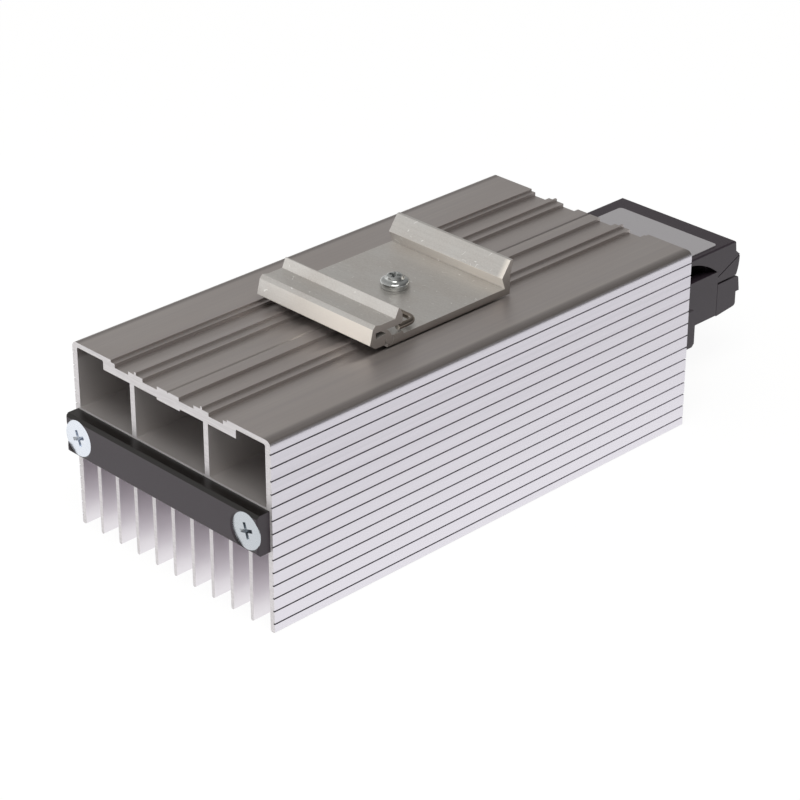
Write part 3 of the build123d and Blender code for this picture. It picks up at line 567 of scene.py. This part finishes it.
# Rail clip. Plate and front jaw are two aluminium extrusions, sawn to length; the far jaw is part
# of the plate. They are the CAD solids with eased edges. The far jaw's groove becomes a slope, and
# the front jaw's nose a flat face.
plate_ease = 0.08 * mm
jaw_ease = 0.1 * mm
clip_half = 22 * mm
ridge_y = sink_low.y + 99.75 * mm
groove_roof_z = sink_high.z + 3.35 * mm
nose_foot_y = sink_low.y + 50.05 * mm
nose_foot_z = sink_high.z + 2.3 * mm
nose_top_z = sink_high.z + 6.82 * mm
nose_reach = 0.8 * mm
nose_lean = 0.25
line_reach = 0.02 * mm


def move_line(piece, line_y, line_z, step_y, step_z):
    """Move the edge that runs along X at one place of an extrusion's outline."""
    bpy.ops.object.mode_set(mode="OBJECT")
    for item in [*piece.data.polygons, *piece.data.edges]:
        item.select = False
    for vertex in piece.data.vertices:
        vertex.select = abs(vertex.co.y - line_y) < line_reach and abs(vertex.co.z - line_z) < line_reach
    bpy.ops.object.mode_set(mode="EDIT")
    bpy.ops.mesh.select_mode(type="VERT")
    bpy.ops.transform.translate(value=(0, step_y, step_z))
    bpy.ops.object.mode_set(mode="OBJECT")


def slope_undercut(piece):
    """Turn the far jaw's square groove into a slope from its ridge to the plate."""
    move_line(piece, ridge_y, groove_roof_z + 0.2 * mm, 0.64 * mm, 0)
    move_line(piece, ridge_y + 0.2 * mm, groove_roof_z, 0.52 * mm, 0)
    move_line(piece, ridge_y + 1.15 * mm, groove_roof_z, -0.4 * mm, -0.1 * mm)


def flatten_nose(piece):
    """Turn the upper part of the front jaw's round nose into a flat face that leans back."""
    lines = {(round(vertex.co.y, 6), round(vertex.co.z, 6)) for vertex in piece.data.vertices
             if vertex.co.y < nose_foot_y + nose_reach and nose_foot_z < vertex.co.z < nose_top_z}
    for line_y, line_z in sorted(lines):
        move_line(piece, line_y, line_z, nose_foot_y + nose_lean * (line_z - nose_foot_z) - line_y, 0)


# Mill finish aluminium, handled: a dull sheen with lines from the die, patches, a fine grain and a
# few bright curved scratches. The sawn ends are dull and darkened with painted shade, the nose has
# painted light on it, most to the right, and the far jaw has a painted highlight at its right end.
# Real die lines are finer, and are drawn as coarse as they need to show.
clip_metal, at = start_material("extruded_clip_aluminium")
place = add(clip_metal, "ShaderNodeSeparateXYZ", {"Vector": at.outputs["Object"]})
facing = add(clip_metal, "ShaderNodeSeparateXYZ", {"Vector": at.outputs["Normal"]})
die_lines = stretched_noise(clip_metal, at, (70 * mm, 0.5 * mm, 0.5 * mm))
fine_lines = stretched_noise(clip_metal, at, (30 * mm, 0.2 * mm, 0.2 * mm), 2.0)
patches = stretched_noise(clip_metal, at, (14 * mm, 8 * mm, 8 * mm), 2.0)
grain = stretched_noise(clip_metal, at, (0.6 * mm, 0.35 * mm, 0.35 * mm), 2.0)
lined = add(clip_metal, "ShaderNodeMapRange", {"Value": die_lines, **soft_fade})
patchy = add(clip_metal, "ShaderNodeMapRange", {"Value": patches, **firm_fade, "To Min": 0.1, "To Max": 0.7})
grainy = add(clip_metal, "ShaderNodeMapRange", {"Value": grain, **firm_fade, "To Max": 0.3})
face = add(clip_metal, "ShaderNodeMix", {share: lined, first: "#cbc9c6", second: "#d3d1ce"}, data_type="RGBA")
face = add(clip_metal, "ShaderNodeMix", {share: patchy, first: face, second: "#c6c1bc"}, data_type="RGBA")
face = add(clip_metal, "ShaderNodeMix", {share: grainy, first: face, second: "#e2e0dd"}, data_type="RGBA")

# Scratches: short stretches of the curves along which a noise has its middle value
whirls = stretched_noise(clip_metal, at, (2.6 * mm, 1.6 * mm, 6 * mm), 0.0)
struck = stretched_noise(clip_metal, at, (2.4 * mm, 2.0 * mm, 2.4 * mm), 0.0)
off_curve = add(clip_metal, "ShaderNodeMath", {0: whirls, 1: 0.5}, operation="SUBTRACT")
off_curve = add(clip_metal, "ShaderNodeMath", {0: off_curve}, operation="ABSOLUTE")
on_curve = add(clip_metal, "ShaderNodeMapRange",
               {"Value": off_curve, "From Min": 0.008, "From Max": 0.03, "To Min": 0.8, "To Max": 0.0})
stretches = add(clip_metal, "ShaderNodeMapRange", {"Value": struck, "From Min": 0.69, "From Max": 0.73})
scratches = add(clip_metal, "ShaderNodeMath", {0: on_curve, 1: stretches}, operation="MULTIPLY")
face = add(clip_metal, "ShaderNodeMix", {share: scratches, first: face, second: "#fbfaf8"}, data_type="RGBA")

# Sawn ends darkened with painted shade, painted light on the nose, and a painted highlight at the
# far jaw's right end
facing_end = add(clip_metal, "ShaderNodeMath", {0: facing.outputs["X"]}, operation="ABSOLUTE")
sawn_end = add(clip_metal, "ShaderNodeMapRange", {"Value": facing_end, **square_on})
# Painted shade: the sawn ends are darker
face = add(clip_metal, "ShaderNodeMix", {share: sawn_end, first: face, second: "#a9a29d"}, data_type="RGBA")
# Painted light on the nose, strongest to the right
forward = add(clip_metal, "ShaderNodeMapRange",
              {"Value": facing.outputs["Y"], "From Min": -0.96, "From Max": -0.9, **falling})
on_nose = add(clip_metal, "ShaderNodeMapRange",
              {"Value": place.outputs["Z"], "From Min": nose_foot_z - 0.4 * mm,
               "From Max": nose_foot_z + 0.4 * mm})
to_right = add(clip_metal, "ShaderNodeMapRange",
               {"Value": place.outputs["X"], "From Min": -clip_half, "From Max": 10 * mm, "To Max": 1.15})
painted_nose_light = add(clip_metal, "ShaderNodeMath", {0: forward, 1: on_nose}, operation="MULTIPLY")
painted_nose_light = add(clip_metal, "ShaderNodeMath", {0: painted_nose_light, 1: to_right}, operation="MULTIPLY")
# Painted highlight: a bright stripe on the far jaw's sloping face at its right end
leaning = add(clip_metal, "ShaderNodeMapRange",
              {"Value": facing.outputs["Y"], "From Min": -0.8, "From Max": -0.74, **falling})
on_far_jaw = add(clip_metal, "ShaderNodeMapRange",
                 {"Value": place.outputs["Y"], "From Min": ridge_y - 1 * mm, "From Max": ridge_y - 0.5 * mm})
at_right_end = add(clip_metal, "ShaderNodeMapRange",
                   {"Value": place.outputs["X"], "From Min": 19.8 * mm, "From Max": 21.4 * mm})
painted_end_highlight = add(clip_metal, "ShaderNodeMath", {0: leaning, 1: on_far_jaw}, operation="MULTIPLY")
painted_end_highlight = add(clip_metal, "ShaderNodeMath", {0: painted_end_highlight, 1: at_right_end}, operation="MULTIPLY")
pale = add(clip_metal, "ShaderNodeMath", {0: painted_nose_light, 1: painted_end_highlight}, operation="MAXIMUM")
paled = add(clip_metal, "ShaderNodeMath", {0: pale, 1: 0.85}, operation="MULTIPLY")
face = add(clip_metal, "ShaderNodeMix", {share: paled, first: face, second: "#faf3ea"}, data_type="RGBA")
sheen = add(clip_metal, "ShaderNodeMapRange", {"Value": patches, **soft_fade, "To Min": 0.36, "To Max": 0.44})
add(clip_metal, "ShaderNodeOutputMaterial", {"Surface": add(clip_metal, "ShaderNodeBsdfPrincipled", {
    "Base Color": face,
    "Metallic": add(clip_metal, "ShaderNodeMapRange", {"Value": pale, "To Min": 0.82, "To Max": 0.35}),
    "Roughness": add(clip_metal, "ShaderNodeMath", {0: sawn_end, 1: 0.12, 2: sheen},
                     operation="MULTIPLY_ADD"),
    "Normal": add(clip_metal, "ShaderNodeBump",
                  {"Height": fine_lines, "Strength": 0.2, "Distance": 0.02 * mm})})})
clad(eased_copy("clip_plate", "rail_plate", "heater", plate_ease, slope_undercut), clip_metal)
clad(eased_copy("clip_jaw", "rail_jaw", "front_jaw", jaw_ease, flatten_nose), clip_metal)

# Spring: drawn steel wire, 1.75 mm thick, bent to a flat U. Its ends lie in the jaw's slot, and its
# long leg bears on the rail's edge. It is one circle, drawn along its legs and spun round its bends.
wire_low, wire_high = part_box("clip_spring")
wire_radius = 0.875 * mm
wire_edge = 0.1 * mm
bend_radius = 2.5 * mm
wire_z = (wire_low.z + wire_high.z) / 2
wire_side = wire_high.x - wire_radius
leg_run = wire_high.y - wire_radius - bend_radius - wire_low.y
bend_x = wire_side - bend_radius
bend_y = wire_low.y + leg_run
bpy.ops.object.select_all(action="DESELECT")
bpy.ops.mesh.primitive_circle_add(vertices=24, radius=wire_radius, fill_type="NGON",
                                  location=(-wire_side, wire_low.y, wire_z), rotation=(math.pi / 2, 0, 0))
spring = bpy.context.active_object
spring.name = "jaw_spring"
apply_place(spring)
bpy.ops.object.mode_set(mode="EDIT")
bpy.ops.mesh.select_all(action="SELECT")
bpy.ops.mesh.extrude_region_move(TRANSFORM_OT_translate={"value": (0, leg_run, 0)})
bpy.ops.mesh.spin(steps=10, angle=math.pi / 2, center=(-bend_x, bend_y, wire_z), axis=(0, 0, 1))
bpy.ops.mesh.extrude_region_move(TRANSFORM_OT_translate={"value": (2 * bend_x, 0, 0)})
bpy.ops.mesh.spin(steps=10, angle=math.pi / 2, center=(bend_x, bend_y, wire_z), axis=(0, 0, 1))
bpy.ops.mesh.extrude_region_move(TRANSFORM_OT_translate={"value": (0, -leg_run, 0)})
bpy.ops.mesh.select_all(action="SELECT")
bpy.ops.mesh.remove_doubles(threshold=merge_reach)
bpy.ops.mesh.normals_make_consistent(inside=False)
bpy.ops.object.mode_set(mode="OBJECT")
cut_edge = spring.modifiers.new("cut_edge", "BEVEL")
cut_edge.width = wire_edge
cut_edge.segments = 2
cut_edge.limit_method = "ANGLE"
cut_edge.angle_limit = math.radians(60)
bpy.ops.object.modifier_apply(modifier="cut_edge")
bpy.ops.object.shade_smooth_by_angle(angle=math.radians(40))

# Drawn wire: a mottled grey brown, with bright cut ends
wire, at = start_material("drawn_spring_steel")
place = add(wire, "ShaderNodeSeparateXYZ", {"Vector": at.outputs["Object"]})
facing = add(wire, "ShaderNodeSeparateXYZ", {"Vector": at.outputs["Normal"]})
wire_mottle = stretched_noise(wire, at, (6 * mm, 1 * mm, 1 * mm))
forward = add(wire, "ShaderNodeMapRange",
              {"Value": facing.outputs["Y"], "From Min": -0.95, "From Max": -0.8, **falling})
at_end = add(wire, "ShaderNodeMapRange",
             {"Value": place.outputs["Y"], "From Min": wire_low.y + 0.02 * mm,
              "From Max": wire_low.y + 0.06 * mm, **falling})
cut_face = add(wire, "ShaderNodeMath", {0: forward, 1: at_end}, operation="MULTIPLY")
colour = add(wire, "ShaderNodeMix", {share: wire_mottle, first: "#7d746c", second: "#968c82"}, data_type="RGBA")
colour = add(wire, "ShaderNodeMix", {share: cut_face, first: colour, second: "#d8d2c8"}, data_type="RGBA")
add(wire, "ShaderNodeOutputMaterial", {"Surface": add(wire, "ShaderNodeBsdfPrincipled", {
    "Base Color": colour,
    "Metallic": add(wire, "ShaderNodeMapRange", {"Value": cut_face, "To Min": 1.0, "To Max": 0.2}),
    "Roughness": 0.22})})
clad(spring, wire)
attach(spring, "front_jaw")
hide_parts("clip_spring")

# Washer and pan-head screw that hold the clip plate: zinc-plated steel, polished by the press. The
# head has a deep rim with a round shoulder, and a raised middle with a cross recess right across it.
washer_low, washer_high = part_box("clip_washer")
screw_low, screw_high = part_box("clip_screw")
head_y = (washer_low.y + washer_high.y) / 2
washer_radius = (washer_high.x - washer_low.x) / 2
washer_bore = 2.15 * mm
washer_edge = 0.15 * mm
thread_radius = 1.95 * mm
pan_radius = (screw_high.x - screw_low.x) / 2
pan_foot = washer_high.z
pan_shoulder = pan_foot + 1.3 * mm
pan_top = screw_high.z
pan_recess_span = 4.0 * mm
pan_recess_depth = 1.6 * mm
pan_turn = math.radians(25)
washer = turned_piece("plain_washer", [
    (washer_bore, washer_low.z), (washer_radius - washer_edge, washer_low.z),
    (washer_radius, washer_low.z + washer_edge), (washer_radius, washer_high.z - washer_edge),
    (washer_radius - washer_edge, washer_high.z), (washer_bore, washer_high.z), (washer_bore, washer_low.z)],
    closed=True)
pan_screw = turned_piece("pan_head_screw", [
    (thread_radius, screw_low.z), (thread_radius, pan_foot), (pan_radius - 0.15 * mm, pan_foot),
    (pan_radius, pan_foot + 0.2 * mm), (pan_radius, pan_shoulder - 0.5 * mm),
    (pan_radius - 0.1 * mm, pan_shoulder - 0.25 * mm), (pan_radius - 0.35 * mm, pan_shoulder),
    (pan_radius - 0.75 * mm, pan_shoulder + 0.14 * mm), (2.9 * mm, pan_shoulder + 0.2 * mm),
    (2.68 * mm, pan_shoulder + 0.28 * mm), (2.5 * mm, pan_shoulder + 0.5 * mm),
    (2.38 * mm, pan_top - 0.5 * mm), (2.22 * mm, pan_top - 0.15 * mm), (1.95 * mm, pan_top)])
recess = cross_cutter(pan_recess_span, recess_width, pan_recess_depth)
recess.matrix_world = Matrix.Translation((0, 0, pan_top)) @ Matrix.Rotation(pan_turn, 4, "Z")
apply_place(recess)
cut(pan_screw, recess)
for piece in (washer, pan_screw):
    piece.location = (0, head_y, 0)
    apply_place(piece)
    bpy.ops.object.shade_smooth_by_angle(angle=math.radians(35))

# Polished zinc: the same plate on a smooth pressed head, so it mirrors the studio
polished, at = start_material("polished_zinc_plate")
haze = stretched_noise(polished, at, (1 * mm, 1 * mm, 1 * mm))
colour = add(polished, "ShaderNodeMix", {share: haze, first: "#b4b7b7", second: "#c9cbca"}, data_type="RGBA")
add(polished, "ShaderNodeOutputMaterial", {"Surface": add(polished, "ShaderNodeBsdfPrincipled", {
    "Base Color": colour, "Metallic": 1.0,
    "Roughness": add(polished, "ShaderNodeMapRange",
                     {"Value": haze, **soft_fade, "To Min": 0.16, "To Max": 0.24})})})
for piece, node in ((washer, "clip_washer"), (pan_screw, "clip_screw")):
    clad(piece, polished)
    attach(piece, "heater")
    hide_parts(node)

# Studio: a plain white floor in a grey room that is lighter to the front left and low down, and one
# large soft lamp overhead on the camera's side
floor_reach = 6.0
floor_drop = 0.05 * mm
bpy.ops.object.select_all(action="DESELECT")
bpy.ops.mesh.primitive_circle_add(vertices=96, radius=floor_reach, fill_type="NGON",
                                  location=(0, 0, -floor_drop))
floor = bpy.context.active_object
floor.name = "studio_floor"
apply_place(floor)

# Paper: matt white, shown as plain white to the camera and in what mirrors it, with a soft shadow
paper, at = start_material("white_paper_floor")
fibre = stretched_noise(paper, at, (4 * mm, 4 * mm, 4 * mm))
colour = add(paper, "ShaderNodeMix", {share: fibre, first: "#efefef", second: "#f2f2f2"}, data_type="RGBA")
sheet = add(paper, "ShaderNodeBsdfPrincipled", {"Base Color": colour, "Roughness": 0.9})
ray = add(paper, "ShaderNodeLightPath", {})
direct = add(paper, "ShaderNodeMath", {0: ray.outputs["Is Camera Ray"], 1: 0.88}, operation="MULTIPLY")
mirrored = add(paper, "ShaderNodeMath",
               {0: ray.outputs["Is Glossy Ray"], 1: ray.outputs["Is Transmission Ray"]}, operation="MAXIMUM")
mirrored = add(paper, "ShaderNodeMath", {0: mirrored, 1: 0.96}, operation="MULTIPLY")
seen = add(paper, "ShaderNodeMath", {0: direct, 1: mirrored}, operation="MAXIMUM")
white = add(paper, "ShaderNodeEmission", {"Color": "#ffffff", "Strength": 1.05})
shown = add(paper, "ShaderNodeMixShader", {0: seen, 1: sheet, 2: white})
add(paper, "ShaderNodeOutputMaterial", {"Surface": shown})
clad(floor, paper)

# Room: near white walls, their level set by the direction
room = bpy.data.worlds.new("grey_room")
bpy.context.scene.world = room
room.use_nodes = True
room.node_tree.nodes.clear()
looking = add(room, "ShaderNodeTexCoord", {})
height = add(room, "ShaderNodeSeparateXYZ", {"Vector": looking.outputs["Generated"]})
front_left = add(room, "ShaderNodeVectorMath",
                 {0: looking.outputs["Generated"], 1: (-0.71, -0.71, 0.0)}, operation="DOT_PRODUCT")
turned_level = add(room, "ShaderNodeMapRange",
                   {"Value": front_left.outputs["Value"], "From Min": -1.0, "To Min": 0.08, "To Max": 0.74})
raised_level = add(room, "ShaderNodeMapRange",
                   {"Value": height.outputs["Z"], "From Min": 0.08, "From Max": 0.4,
                    "To Min": 1.85, "To Max": 0.95})
level = add(room, "ShaderNodeMath", {0: turned_level, 1: raised_level}, operation="MULTIPLY")
add(room, "ShaderNodeOutputWorld",
    {"Surface": add(room, "ShaderNodeBackground", {"Color": "#fffefc", "Strength": level})})

# Lamp: a square softbox that faces the object's middle
lamp_place = Vector((0.55, -0.55, 1.6))
object_middle = Vector((0, 0, 0.03))
lamp = bpy.data.lights.new("overhead_softbox", "AREA")
lamp.shape = "SQUARE"
lamp.size = 1.0
lamp.energy = 16
lamp.color = linear("#fffdf9")[:3]
softbox = bpy.data.objects.new("overhead_softbox", lamp)
bpy.context.scene.collection.objects.link(softbox)
softbox.location = lamp_place
softbox.visible_camera = False
softbox.rotation_mode = "QUATERNION"
softbox.rotation_quaternion = (object_middle - lamp_place).to_track_quat("-Z", "Y")

# Camera. Its place, turn and long lens come from the vanishing lines of the photograph, a little
# under 30 degrees down.
camera_place = (0.4704, -0.47835, 0.3712)
view_azimuth = math.radians(45.55)
view_elevation = math.radians(27.93)
view_roll = math.radians(0.09)
camera_data = bpy.data.cameras.new("photograph_camera")
camera_data.sensor_width = 36
camera_data.lens = 120.4
camera = bpy.data.objects.new("photograph_camera", camera_data)
bpy.context.scene.collection.objects.link(camera)
camera.matrix_world = (Matrix.Translation(camera_place)
                       @ Matrix.Rotation(view_azimuth, 4, "Z")
                       @ Matrix.Rotation(math.pi / 2 - view_elevation, 4, "X")
                       @ Matrix.Rotation(view_roll, 4, "Z"))
bpy.context.scene.camera = camera
bpy.context.scene.view_settings.view_transform = "Standard"
